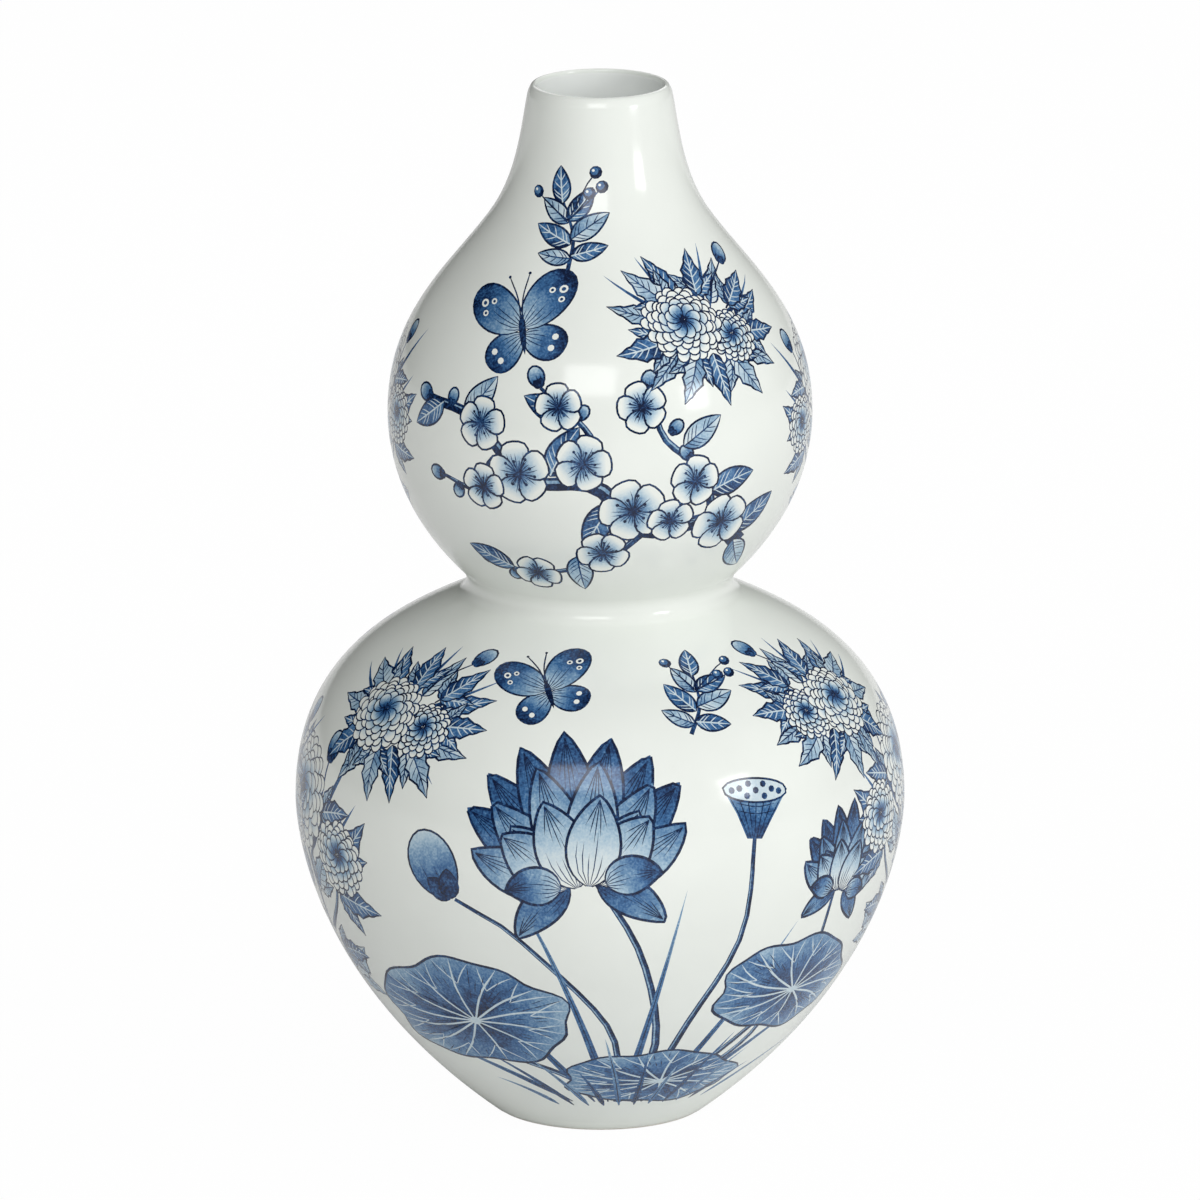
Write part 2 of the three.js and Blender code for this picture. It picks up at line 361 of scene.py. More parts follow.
def lotus(brush, size):
    """A lotus seen from the side: petals behind, at the sides and in front."""
    rows = (
        (7, 62, 1.0, 0.36, 0.05, 0.1, -14, (SOFT, 0.76)),
        (6, 84, 0.86, 0.36, 0.08, 0.04, -30, (BARE, MID)),
        (4, 118, 0.66, 0.27, 0.1, 0.0, 26, (0.76, SOFT)),
        (4, 40, 0.68, 0.38, 0.12, -0.02, 10, (BARE, 0.46)),
        (2, 70, 0.46, 0.28, 0.16, -0.02, 34, (PALE, DEEP)),
    )
    for count, fan, long, wide, base_x, base_y, curl, tones in rows:
        middle = (count - 1) / 2
        for k in sorted(range(count), key=lambda k: -abs(k - middle)):
            u = (k - middle) / middle
            one = brush.at(base_x * u * size, base_y * size, -fan * u)
            length = long * size * (1 - 0.12 * abs(u))
            petal(one, length, wide * size, curl * u, 0.3, tones, 6, BOLD)
            tip_lines(one, length, wide * size, curl * u)


def tip_lines(brush, length, width, bend, count=5):
    """Fine lines that run back from a petal's tip."""
    spine = bent(length, bend, 21)
    side = sideways(spine) * width
    for k in range(count):
        u = (k + 0.5) / count * 2 - 1
        last = 13 - int(4 * (1 - abs(u)))
        path = [spine[19], spine[16] + side[16] * 0.13 * u, spine[last] + side[last] * 0.26 * u]
        brush.line(path, FINE, NAVY, 4, 0.8, 0.0)


def seed_pod(brush, size):
    """A lotus seed pod: a cone with a flat pitted top."""
    cup = [(-0.12, 0), (-0.3, 0.34), (-0.5, 0.66), (0.5, 0.66), (0.3, 0.34), (0.12, 0)]
    brush.fill(np.array(cup) * size, DEEP, SOFT, (0, 0), (0, 0.7 * size))
    for k in range(7):
        u = (k - 3) / 3
        rib = np.array([(0.1 * u, 0.02), (0.27 * u, 0.34), (0.46 * u, 0.64)]) * size
        brush.line(rib, FINE, NAVY, 5, 0.8, 0.3)
    for y in (0.4, 0.5):
        brush.line(np.array([(-0.34, y), (0, y - 0.05), (0.34, y)]) * size, FINE, NAVY, 6, 0.2, 0.2)
    a = np.linspace(0, 2 * math.pi, 20, endpoint=False)
    top = np.stack([0.52 * size * np.cos(a), 0.68 * size + 0.17 * size * np.sin(a)], 1)
    brush.fill(top, PALE)
    brush.line(np.vstack([top, top[:2]]), PLAIN, NAVY, 24, 0.8, 0.8)
    for x, y in ((0, 0.68), (0.26, 0.7), (0.12, 0.77), (0.14, 0.6), (0.38, 0.67)):
        for side in ((1, -1) if x else (1,)):
            brush.dot(x * side * size, y * size, 0.05 * size, DEEP, 7)


def lotus_leaf(brush, radius, squash):
    """A broad round leaf seen from the side, wavy at its edge, with branching ribs."""
    count, ribs = 65, 13
    a = np.linspace(0, 2 * math.pi, count, endpoint=False)
    wave = radius * (1 + 0.05 * np.sin(5 * a + 1) + 0.035 * np.sin(9 * a))
    edge = np.stack([wave * np.cos(a), wave * np.sin(a) * squash], 1)
    heart = np.array([radius * 0.08, -radius * 0.12 * squash])
    near, far = 0.95, 0.44
    step = count // ribs
    for k in range(ribs):
        arc = np.arange(k * step, (k + 1) * step + 1) % count
        tone, rim = near * (0.86 + 0.1 * ((k * 5) % 3)), far * (0.8 + 0.12 * ((k * 7) % 4))
        brush.fill(np.vstack([heart[None], edge[arc]]), tone, rim, heart, edge[arc[step // 2]])
    for k in range(ribs):
        tip = edge[k * step]
        middle = heart * 0.4 + tip * 0.6
        bow = np.array([-(tip - heart)[1], (tip - heart)[0]]) * 0.05
        brush.line([heart, (heart + tip) / 2 + bow, tip * 0.97 + heart * 0.03], PLAIN, PALE, 8, 0.8, 0.2)
        for side in (-2, 2):
            fork = edge[(k * step + side) % count]
            turn = (middle + fork) / 2 + bow * 0.3
            brush.line([middle, turn, fork * 0.97 + heart * 0.03], 0.65, PALE, 4, 0.7, 0.2)
    for k in range(110):
        spoke = edge[chance.randrange(count)] - heart
        reach = chance.uniform(0.35, 0.8)
        brush.line([heart + spoke * reach, heart + spoke * (reach + 0.16)], FINE, NAVY, 3, 0.3, 0.2)
    ring = np.vstack([edge, edge[:1]])
    half = count // 2
    brush.line(ring[:half + 2], BOLD, NAVY, half + 2, 0.6, 0.6)
    brush.line(ring[half:], BOLD, NAVY, half + 1, 0.6, 0.6)
    brush.dot(*heart, radius * 0.05, PALE)


def butterfly(brush, size):
    """Wings spread, seen from above."""
    for side in (1, -1):
        lower = brush.at(0, -0.06 * size, 118 * -side)
        petal(lower, 0.62 * size, 0.48 * size, 10 * side, 0.9, (PALE, NAVY), 5)
        wing = brush.at(0, 0.05 * size, 52 * -side)
        petal(wing, 0.95 * size, 0.6 * size, -16 * side, 0.85, (PALE, NAVY), 6)
        for x, y, r in ((0.03, 0.72, 0.06), (0.12, 0.6, 0.045), (-0.08, 0.62, 0.045)):
            wing.dot(x * size, y * size, r * size, BARE, 10)
            wing.dot(x * size, y * size, 0.5 * r * size, DEEP)
        for x, y in ((0.08, 0.44), (-0.08, 0.44)):
            lower.dot(x * size, y * size, 0.045 * size, BARE)
    for side in (1, -1):
        feeler = np.array([(0.01 * side, 0.2), (0.04 * side, 0.5), (0.15 * side, 0.82)]) * size
        brush.line(feeler, THIN, NAVY, 8, 1, 0.6)
        brush.dot(*feeler[-1], 0.025 * size, NAVY, 6)
    half = [(0, 0.24), (0.045, 0.14), (0.05, 0.0), (0.035, -0.2), (0, -0.34)]
    brush.fill(np.array(half + [(-x, y) for x, y in half[-2:0:-1]]) * size, NAVY)


def sprig(brush):
    """A small twig of leaves and berries."""
    stalk(brush, [(0, 0), (2, 14), (-2, 30)], 1.4)
    leaves = ((1, 5, 84, 14, False), (1, 6, -80, 15, True), (1, 11, 58, 17, True), (1, 13, -54, 18, False),
              (0, 20, 42, 15, False), (0, 21, -46, 16, True), (-2, 28, 8, 15, True))
    for x, y, turn, long, dark in leaves:
        leaf(brush.at(x, y, turn), long, long * 0.5, chance.uniform(-14, 14), dark, 0, 4)
    for x, y in ((9, 31), (14, 33), (-13, 33), (12, 39)):
        brush.line([(0, 21), (x * 0.7, y - 4), (x, y)], THIN, NAVY, 5, 1, 0.8)
        brush.dot(x, y, 2.6, NAVY, 10)
        brush.dot(x - 0.5, y + 0.5, 1.6, MID)
        brush.dot(x - 0.9, y + 0.9, 0.6, BARE, 6)


def posy(brush):
    """Two chrysanthemums and a bud, tucked among leaves and blades."""
    blades = ((70, 46, 24), (40, 42, 14), (-24, 44, -18), (-74, 50, -26), (-122, 42, 22), (128, 44, -22))
    for turn, long, bend in blades:
        blade(brush.at(0, 0, turn), long, 3.8, bend)
    leaves = ((-17, 4, 86, False), (-8, 14, 26, True), (10, 12, -26, False), (23, 5, -70, True),
              (20, -8, -116, False), (5, -12, -168, True), (-11, -10, 146, False))
    for x, y, turn, dark in leaves:
        leaf(brush.at(x, y, turn), 25, 11, chance.uniform(-24, 24), dark, 4)
    trefoils = ((-10, 10, 54, 25), (3, 13, -4, 24), (18, 9, -48, 24), (23, -2, -92, 23),
                (13, -10, -142, 25), (-3, -10, 170, 24), (-13, -5, 116, 26))
    for x, y, turn, long in trefoils:
        trefoil(brush.at(x, y, turn), long, turn % 4 == 0)
    brush.line([(8, 8), (14, 22), (24, 32)], PLAIN, NAVY, 7, 1, 0.8)
    bud(brush.at(24, 31, -34), 12)
    chrysanthemum(brush.at(18, -4), 14)
    chrysanthemum(brush.at(-7, 2), 20, 5)


def chrysanthemum_spray(brush):
    """Blooms and a bud on a leafy stalk, with narrow leaves behind them."""
    blades = ((-6, 62, 62, 58, 30), (0, 70, 44, 66, 24), (6, 66, -50, 62, -26), (4, 60, -72, 54, -34),
              (-4, 40, 84, 46, 36))
    for x, y, turn, long, bend in blades:
        blade(brush.at(x, y, turn), long, 4.6, bend)
    stalk(brush, [(0, 0), (-7, 26), (2, 52), (0, 84)], 2.6)
    stalk(brush, [(-4, 20), (-22, 36), (-34, 58)], 2.0)
    stalk(brush, [(0, 34), (20, 48), (31, 64)], 1.8)
    stalk(brush, [(2, 60), (20, 84), (24, 104)], 1.5)
    leaves = ((-5, 10, 70, 34, True), (-3, 14, -64, 36, False), (-26, 42, 96, 29, True),
              (24, 54, -104, 30, True), (4, 50, -40, 27, False), (-4, 50, 34, 28, True),
              (20, 84, -80, 24, True), (-36, 60, 64, 30, False), (34, 66, -50, 27, True),
              (-6, 96, 36, 30, True), (2, 26, -84, 26, True))
    for x, y, turn, long, dark in leaves:
        trefoil(brush.at(x, y, turn), long * 0.88, dark)
    chrysanthemum(brush.at(-35, 62), 19)
    chrysanthemum(brush.at(33, 68), 17)
    chrysanthemum(brush.at(-1, 90), 25, 5)
    bud(brush.at(24, 104, -12), 13)


def lotus_clump(brush):
    """Leaves, flowers, a bud and a seed pod on stalks that rise from one root, among reeds."""
    stalk(brush, [(4, 0), (14, 50), (4, 105), (-22, 150)], 3.2)
    stalk(brush, [(8, 0), (28, 60), (52, 110), (58, 158)], 2.8)
    stalk(brush, [(2, 0), (-26, 24), (-58, 40), (-74, 60)], 3.0)
    stalk(brush, [(6, 0), (36, 20), (62, 44), (78, 74)], 2.8)
    stalk(brush, [(0, 0), (-8, 60), (-50, 110), (-82, 128)], 2.4)
    stalk(brush, [(10, 0), (50, 40), (92, 84), (106, 122)], 2.6)
    reeds = ((-10, 22, 118, -30), (-4, 8, 150, -22), (16, -14, 126, 24), (24, -30, 96, 34),
             (-20, 42, 84, -40), (2, -4, 138, 10))
    for x, turn, long, bend in reeds:
        blade(brush.at(x, 0, turn), long, 4.6, bend, DEEP, SOFT)
    lotus_leaf(brush.at(84, 74, -12), 44, 0.6)
    lotus_leaf(brush.at(-76, 62, 10), 52, 0.62)
    bud(brush.at(-84, 128, 30), 34)
    seed_pod(brush.at(58, 156, -8), 32)
    lotus(brush.at(110, 122, -14), 38)
    lotus(brush.at(-22, 140, 8), 64)
    lotus_leaf(brush.at(16, 20, -6), 42, 0.5)
    for k in range(11):
        u = k / 10 * 2 - 1
        tones = (DEEP, MID) if k % 2 else (MID, SOFT)
        blade(brush.at(8 + u * 34, -4, -u * 34), 34 + 12 * ((k * 5) % 3), 3.6, u * 40, *tones)


def plum_branch(brush):
    """A crooked old branch with twigs, flowers and buds."""
    main = [(0, 0), (22, 16), (52, 14), (78, 36), (108, 38), (134, 62), (158, 66)]
    stalk(brush, [(52, 14), (66, -4), (92, -12), (110, -6)], 3.0)
    stalk(brush, [(22, 16), (30, 40), (48, 56), (52, 76)], 3.2)
    stalk(brush, [(78, 36), (80, 58), (98, 78)], 2.6)
    stalk(brush, [(108, 38), (128, 30), (150, 34)], 2.2)
    stalk(brush, main, 6.4, 0.92, 30)
    path = along(main, 60)
    for k in range(22):
        way = chance.uniform(0.02, 0.8)
        shift = np.array([0, chance.uniform(-1.5, 1.5) * (1 - 0.5 * way)])
        first = int(way * (len(path) - 1))
        last = min(len(path) - 1, first + 4)
        brush.line([path[first] + shift, path[last] + shift], THIN, NAVY, 4, 0.3, 0.2)
    buds = ((110, -6, -96, 9), (98, -11, -150, 8), (52, 76, 10, 10), (46, 58, 50, 8), (98, 78, -28, 10),
            (86, 65, 44, 8), (150, 34, -86, 9), (140, 32, -150, 8), (158, 66, -70, 10), (146, 65, 10, 8),
            (36, 46, -40, 8))
    for x, y, turn, long in buds:
        bud(brush.at(x, y, turn), long)
    leaves = ((8, 8, 60, 24, True), (26, 30, 66, 22, True), (40, 52, 58, 20, False),
              (70, 28, -150, 23, True), (100, -10, -60, 21, True), (76, 0, 178, 20, False),
              (98, 40, 24, 23, True), (120, 48, -160, 22, True), (138, 62, 40, 21, False),
              (150, 66, -130, 20, True), (88, 66, -70, 20, True), (4, 2, 150, 22, False))
    for x, y, turn, long, dark in leaves:
        leaf(brush.at(x, y, turn), long * 1.1, long * 0.55, chance.uniform(-18, 18), dark, 0, 5)
    flowers = ((16, 14, 13.5), (34, 36, 11.5), (60, 24, 14), (66, 2, 11), (84, 46, 12), (88, -12, 10),
               (112, 40, 13.5), (130, 60, 11), (128, 32, 10), (56, 70, 10.5), (92, 70, 10), (42, 18, 10))
    for x, y, r in flowers:
        plum_blossom(brush.at(x, y, chance.uniform(-36, 36)), r)


for half_turn, mirror in ((0, 1), (180, -1)):
    lotus_clump(Brush(6 + half_turn, 22, 0, 1.05, mirror))
    chrysanthemum_spray(Brush(-72 + half_turn, 60, 6, 1.25, mirror))
    chrysanthemum_spray(Brush(78 + half_turn, 80, -6, 1.15, -mirror))
    posy(Brush(-50 + half_turn, 212, 8, 1.12))
    sprig(Brush(20 + half_turn, 214, -20, 1.2))
    butterfly(Brush(-13 + half_turn, 231, 24), 31)
    posy(Brush(60 + half_turn, 214, -12, 1.06, -1))
    plum_branch(Brush(48 + half_turn, 292, 0, 1.1, -1))
    chrysanthemum_spray(Brush(-88 + half_turn, 284, 4, 0.95, mirror))
    posy(Brush(34 + half_turn, 398, -8, 1.05))
    butterfly(Brush(-26 + half_turn, 398, 20), 36)
    sprig(Brush(-14 + half_turn, 424, 8, 1.2))


# The outside skin: one net of triangles over the whole unrolled wall, cut along the painting
NET_RADIUS = 100.0

# Points of the net that are nearer to each other than its grain are one, and near a border they go onto it
NET_GRAIN, NET_SNAP = 5e-4, 6e-4
lower_joint, upper_joint, neck_joint = (s - LAP / 2 for s in (lower_belly_s, upper_belly_s, neck_s))
foot_top_s = float(way_up(FOOT_HEIGHT))
half_width = math.pi * NET_RADIUS


def inside(ring, points):
    """Which points lie in a closed ring, by the ring's turns round them."""
    a, b = ring[:, None, :], np.roll(ring, -1, axis=0)[:, None, :]
    p = points[None, :, :]
    side, reach = b - a, p - a
    cross = side[..., 0] * reach[..., 1] - reach[..., 0] * side[..., 1]
    rising = (a[..., 1] <= p[..., 1]) & (b[..., 1] > p[..., 1]) & (cross > 0)
    falling = (a[..., 1] > p[..., 1]) & (b[..., 1] <= p[..., 1]) & (cross < 0)
    return rising.sum(axis=0) != falling.sum(axis=0)


class Finder:
    """Finds which of many points lie in a ring, looking only near it."""

    def __init__(self, points):
        self.points = points
        self.order = np.argsort(points[:, 0], kind="stable")
        self.across = points[self.order, 0]

    def within(self, ring):
        low, high = ring.min(axis=0), ring.max(axis=0)
        first, last = np.searchsorted(self.across, (low[0], high[0]))
        near = self.order[first:last]
        rise = self.points[near, 1]
        near = near[(rise >= low[1]) & (rise <= high[1])]
        return near[inside(ring, self.points[near])] if len(near) else near


def on_net(points):
    return points * np.array([NET_RADIUS, 1.0])


# Shapes that cross the back are laid at both edges of the net
shapes = []
for shape, tone, far, base, tip in painted:
    ring, base, tip = on_net(shape), on_net(base), on_net(tip)
    for turn in (-1, 0, 1):
        shift = np.array([turn * 2 * half_width, 0])
        low, high = ring[:, 0].min() + shift[0], ring[:, 0].max() + shift[0]
        if high > -half_width and low < half_width:
            shapes.append((ring + shift, tone, far, base + shift, tip + shift))

# The net's own points
breaks = [foot_top_s, lower_joint, shoulder_s, waist_s, bulb_s, upper_joint, neck_joint, skin_top]
rows = [foot_top_s]
for low, high in zip(breaks, breaks[1:]):
    step = WAIST_ROW if shoulder_s <= low < bulb_s else ROW
    rows.extend(np.linspace(low, high, max(2, round((high - low) / step)) + 1)[1:])
rows = np.array(rows)
columns = np.linspace(-half_width, half_width, COLUMNS + 1)
net = np.stack(np.meshgrid(columns, rows), -1).reshape(-1, 2)
wide = COLUMNS + 1
net_edges = []
borders = [foot_top_s, lower_joint, waist_s, upper_joint, neck_joint, skin_top]
for border in borders:
    row = int(np.argmin(abs(rows - border))) * wide
    net_edges += [(row + k, row + k + 1) for k in range(COLUMNS)]
for column in (0, COLUMNS // 4, 3 * COLUMNS // 4, COLUMNS):
    net_edges += [(k * wide + column, (k + 1) * wide + column) for k in range(len(rows) - 1)]

# Edges of shapes that lie wholly under a later shape are left out
ring_points = np.concatenate([ring for ring, *_ in shapes])
sizes = np.array([len(ring) for ring, *_ in shapes])
starts = np.concatenate([[0], np.cumsum(sizes)[:-1]])
owner = np.repeat(np.arange(len(shapes)), sizes)
following = np.arange(len(ring_points)) + 1
following[starts + sizes - 1] = starts
covered = np.zeros(len(ring_points), bool)
mark = np.zeros(len(ring_points), bool)
finder = Finder(ring_points)
for k, (ring, *_) in enumerate(shapes):
    under = finder.within(ring)
    under = under[owner[under] < k]
    mark[under] = True
    covered[under[mark[following[under]]]] = True
    mark[under] = False
shown = np.flatnonzero(~covered)
used = np.unique(np.concatenate([shown, following[shown]]))
index = np.full(len(ring_points), -1)
index[used] = np.arange(len(used)) + len(net)
net_edges += list(zip(index[shown].tolist(), index[following[shown]].tolist()))
net_points = [Vector(p) for p in np.concatenate([net, ring_points[used]]).tolist()]
laid, _, triangles, _, _, _ = delaunay_2d_cdt(net_points, net_edges, [], 0, NET_GRAIN, False)
laid = np.array([tuple(p) for p in laid], float)
triangles = np.array(triangles)
for line in (-half_width, half_width):
    laid[abs(laid[:, 0] - line) < NET_SNAP, 0] = line
for border in borders:
    laid[abs(laid[:, 1] - border) < NET_SNAP, 1] = border

middle = laid[triangles].mean(axis=1)
kept = (abs(middle[:, 0]) < half_width) & (middle[:, 1] > foot_top_s) & (middle[:, 1] < skin_top)
triangles, middle = triangles[kept], middle[kept]

# Each triangle takes the blue of the topmost shape over it
strength = np.zeros((len(triangles), 3))
finder = Finder(middle)
for ring, tone, far, base, tip in shapes:
    over = finder.within(ring)
    if tone == far:
        strength[over] = tone
        continue
    run = tip - base
    share = ((laid[triangles[over]] - base) @ run) / (run @ run)
    strength[over] = tone + (far - tone) * np.clip(share, 0, 1)


# The walls: each section has a skin, and linings that are drawn on from the skin's borders
def in_space(points):
    """Points of the net on the vase, in metres."""
    angle, s = points[:, 0] / NET_RADIUS, points[:, 1]
    place = wall_at(s)
    return np.stack([place[:, 0] * np.sin(angle), -place[:, 0] * np.cos(angle), place[:, 1]], 1) * MM


def only(piece):
    """Makes one object the only one selected."""
    bpy.ops.object.select_all(action="DESELECT")
    piece.select_set(True)
    bpy.context.view_layer.objects.active = piece


def new_piece(name, points, edges, faces):
    mesh = bpy.data.meshes.new(name)
    mesh.from_pydata(points, edges, faces)
    piece = bpy.data.objects.new(name, mesh)
    bpy.context.collection.objects.link(piece)
    only(piece)
    return piece


# The map of each piece: its name, its margin, and where a lining begins and how far it goes round
UV_MAP, GUTTER = "OFBake", 0.006
ROUND_START, ROUND_SHARE = 0.49, 0.96

# Points that touch are welded; a gap of a few sides is patched; edges sharper than a crease stay sharp
TOUCHING, ON_AXIS, PATCH_SIDES = 1e-8, 1e-3, 8
CREASE, FOOT_CREASE, FOOT_TOUCHING = math.radians(40), math.radians(30), 1e-6

# The spacing of the rows on the inside of the body, and of the neck
INNER_ROW, NECK_ROW = 8.0, 4.0


def skin(name, low, high, strip):
    """The outside of one section, its front and back halves laid in two strips of the map."""
    part = (middle[:, 1] > low) & (middle[:, 1] < high)
    faces, blue, centre = triangles[part], strength[part], middle[part]
    points, faces = np.unique(faces, return_inverse=True)
    faces = faces.reshape(-1, 3)
    flat = laid[points]
    piece = new_piece(name, in_space(flat).tolist(), [], faces.tolist())
    mesh = piece.data
    mesh.attributes.new("blue", "FLOAT", "CORNER").data.foreach_set("value", blue.ravel())
    mesh.attributes.new("skin", "INT", "FACE").data.foreach_set("value", np.ones(len(faces), int))
    corner = flat[faces]
    front = abs(centre[:, 0]) < half_width / 2
    shift = np.where(front, 0, np.where(centre[:, 0] > 0, half_width, -half_width))
    across = (corner[..., 0] - shift[:, None]) / half_width + 0.5
    rise = (corner[..., 1] - low) / (high - low)
    u = GUTTER + across * (1 - 2 * GUTTER)
    v = (rise * (1 - 2 * GUTTER / strip) + GUTTER / strip + np.where(front, 0, 1)[:, None]) * strip
    mesh.uv_layers.new(name=UV_MAP).data.foreach_set("uv", np.stack([u, v], -1).ravel())
    return piece


def rim(s):
    """The skin's points round one border, in order."""
    edge = laid[laid[:, 1] == s]
    edge = edge[edge[:, 0] > -half_width]
    return in_space(edge[np.argsort(edge[:, 0])])


def in_turn(ring):
    """Points of a ring in the order of their angles, and those angles, with the first again at the end."""
    angles = {point: math.atan2(point.co.x, -point.co.y) for point in ring}
    order = sorted(angles, key=angles.get)
    return order + order[:1], [angles[point] for point in order] + [angles[order[0]] + 2 * math.pi]


def sew(shape, near, far):
    """Triangles between two rings, going round both together."""
    near, near_angles = in_turn(near)
    far, far_angles = in_turn(far)
    near_last, far_last = len(near) - 1, len(far) - 1
    i, j = 0, 0
    while i < near_last or j < far_last:
        if j == far_last or (i < near_last and near_angles[i + 1] <= far_angles[j + 1]):
            shape.faces.new((near[i + 1], near[i], far[j]))
            i += 1
        else:
            shape.faces.new((near[i], far[j], far[j + 1]))
            j += 1


def on_outline(ring):
    """The radius and height of a ring of points, in millimetres."""
    return np.hypot(*ring[0, :2]) / MM, ring[0, 2] / MM


def lining(first_ring, profile, last_ring, band, inside_from=1):
    """A wall drawn on from one ring through a profile, to the axis or to a second ring."""
    count = len(first_ring)
    points, edges = first_ring.tolist(), [(k, (k + 1) % count) for k in range(count)]
    if last_ring is not None:
        points += last_ring.tolist()
        edges += [(count + k, count + (k + 1) % len(last_ring)) for k in range(len(last_ring))]
    piece = new_piece("lining", points, edges, [])
    bpy.ops.object.mode_set(mode="EDIT")
    bpy.ops.mesh.select_mode(type="EDGE")
    bpy.ops.mesh.select_all(action="DESELECT")
    shape = bmesh.from_edit_mesh(piece.data)
    for edge in shape.edges:
        edge.select_set(edge.verts[0].index < count)
    radius, height = np.hypot(*first_ring[0, :2]), first_ring[0, 2]
    for r, z in np.asarray(profile) * MM:
        bpy.ops.mesh.extrude_edges_move(TRANSFORM_OT_translate={"value": (0, 0, z - height)})
        bpy.ops.transform.resize(value=(r / radius, r / radius, 1), center_override=(0, 0, z))
        radius, height = r, z
    if last_ring is not None:
        shape = bmesh.from_edit_mesh(piece.data)
        end = [v for v in shape.verts if v.select]
        sew(shape, end, [v for v in shape.verts if count <= v.index < count + len(last_ring)])
        bmesh.update_edit_mesh(piece.data)
    bpy.ops.mesh.select_all(action="SELECT")
    bpy.ops.mesh.remove_doubles(threshold=TOUCHING)
    bpy.ops.object.mode_set(mode="OBJECT")

    # Its map: once round across, and the way along the profile upwards
    mesh = piece.data
    path = np.array([on_outline(first_ring), *profile])
    if last_ring is not None:
        path = np.vstack([path, on_outline(last_ring)])
    way = way_along(path)
    place = np.array([v.co for v in mesh.vertices]) / MM
    upright_place = np.stack([np.hypot(place[:, 0], place[:, 1]), place[:, 2]], 1)
    nearest = np.argmin(np.linalg.norm(upright_place[:, None] - path[None], axis=2), axis=1)
    inside_end = len(path) - (last_ring is not None)
    # Faces of the inner wall and under the base are marked for the lighter glaze that is painted light
    painted_light_inside = ((nearest >= inside_from) & (nearest < inside_end)).astype(float)
    mesh.attributes.new("inside", "FLOAT", "POINT").data.foreach_set("value", painted_light_inside)
    angle = np.arctan2(place[:, 0], -place[:, 1])
    flat = np.zeros((len(mesh.loops), 2))
    for face in mesh.polygons:
        corners = list(face.vertices)
        turn = angle[corners]
        turn = np.where(turn < turn.max() - math.pi, turn + 2 * math.pi, turn)
        on_axis = upright_place[corners, 0] < ON_AXIS
        if on_axis.any() and not on_axis.all():
            turn[on_axis] = turn[~on_axis].mean()
        rise = way[nearest[corners]] / way[-1]
        loops = slice(face.loop_start, face.loop_start + face.loop_total)
        flat[loops, 0] = turn / (2 * math.pi) * ROUND_SHARE + ROUND_START
        flat[loops, 1] = band[0] + rise * (band[1] - band[0])
    mesh.uv_layers.new(name=UV_MAP).data.foreach_set("uv", flat.ravel())
    return piece


def read(rows, name, count, kind=float):
    """One property of many points, faces or corners of a mesh."""
    values = np.zeros(count, kind)
    rows.foreach_get(name, values)
    return values


def closed(outside, *linings):
    """Joins a skin and its linings into one closed wall, with the skin's exact smoothness."""
    only(outside)
    for lined in linings:
        lined.select_set(True)
    bpy.ops.object.join()
    bpy.ops.object.mode_set(mode="EDIT")
    bpy.ops.mesh.select_mode(type="VERT")
    bpy.ops.mesh.select_all(action="SELECT")
    bpy.ops.mesh.remove_doubles(threshold=TOUCHING)
    bpy.ops.mesh.select_all(action="SELECT")
    bpy.ops.mesh.fill_holes(sides=PATCH_SIDES)
    bpy.ops.mesh.select_all(action="SELECT")
    bpy.ops.mesh.normals_make_consistent(inside=False)
    bpy.ops.object.mode_set(mode="OBJECT")
    mesh = outside.data
    bpy.ops.object.shade_smooth_by_angle(angle=CREASE)
    place = read(mesh.vertices, "co", len(mesh.vertices) * 3).reshape(-1, 3)
    angle = np.arctan2(place[:, 0], -place[:, 1])
    across, rise = facing(way_up(place[:, 2] / MM))
    normal = np.stack([across * np.sin(angle), -across * np.cos(angle), rise], 1)
    face_skin = read(mesh.attributes["skin"].data, "value", len(mesh.polygons), np.int32)
    totals = read(mesh.polygons, "loop_total", len(mesh.polygons), np.int32)
    corner = read(mesh.loops, "vertex_index", len(mesh.loops), np.int32)
    on_skin = np.repeat(face_skin, totals) > 0
    mesh.normals_split_custom_set(np.where(on_skin[:, None], normal[corner], 0).tolist())
    mesh.attributes.remove(mesh.attributes["skin"])
    return outside


def inner_wall(high, low, step=INNER_ROW):
    """Points down the inside of the wall."""
    places = np.linspace(high, low, max(2, round(abs(high - low) / step)) + 1)
    return [tuple(p) for p in wall_at(places, 1.0)]


def lap_up(s):
    """The stepped joint at the top of a section, from its outside to its inside."""
    return [tuple(wall_at(s, 0.5)), tuple(wall_at(s + LAP, 0.5))]


# The sections: how high each half of a skin is on the map, and the bands that are left for the linings
STRIP, NECK_STRIP = 0.42, 0.33
BAND, NECK_BAND = ((2 * strip + GUTTER, 1 - GUTTER) for strip in (STRIP, NECK_STRIP))
INSIDE_BAND, UNDER_BAND = (BAND[0], 0.94), (0.95, BAND[1])

floor_s = float(np.interp(floor_top, wall_at(travel, 1.0)[:ends[1], 1], travel[:ends[1]]))
lower_body = closed(
    skin("lower_body", foot_top_s, lower_joint, STRIP),
    lining(rim(lower_joint),
           lap_up(lower_joint) + inner_wall(lower_joint + LAP, floor_s) + [(0, floor_top)],
           None, INSIDE_BAND),
    lining(rim(foot_top_s),
           [(foot_inside, FOOT_HEIGHT), (foot_inside, body_bottom), (0, body_bottom)],
           None, UNDER_BAND),
)
lower_shoulder = closed(
    skin("lower_shoulder_wall", lower_joint, waist_s, STRIP),
    lining(rim(waist_s),
           inner_wall(waist_s, lower_joint + LAP) + lap_up(lower_joint)[::-1],
           rim(lower_joint), BAND),
)
upper_body = closed(
    skin("upper_body", waist_s, upper_joint, STRIP),
    lining(rim(upper_joint),
           lap_up(upper_joint) + inner_wall(upper_joint + LAP, waist_s),
           rim(waist_s), BAND),
)
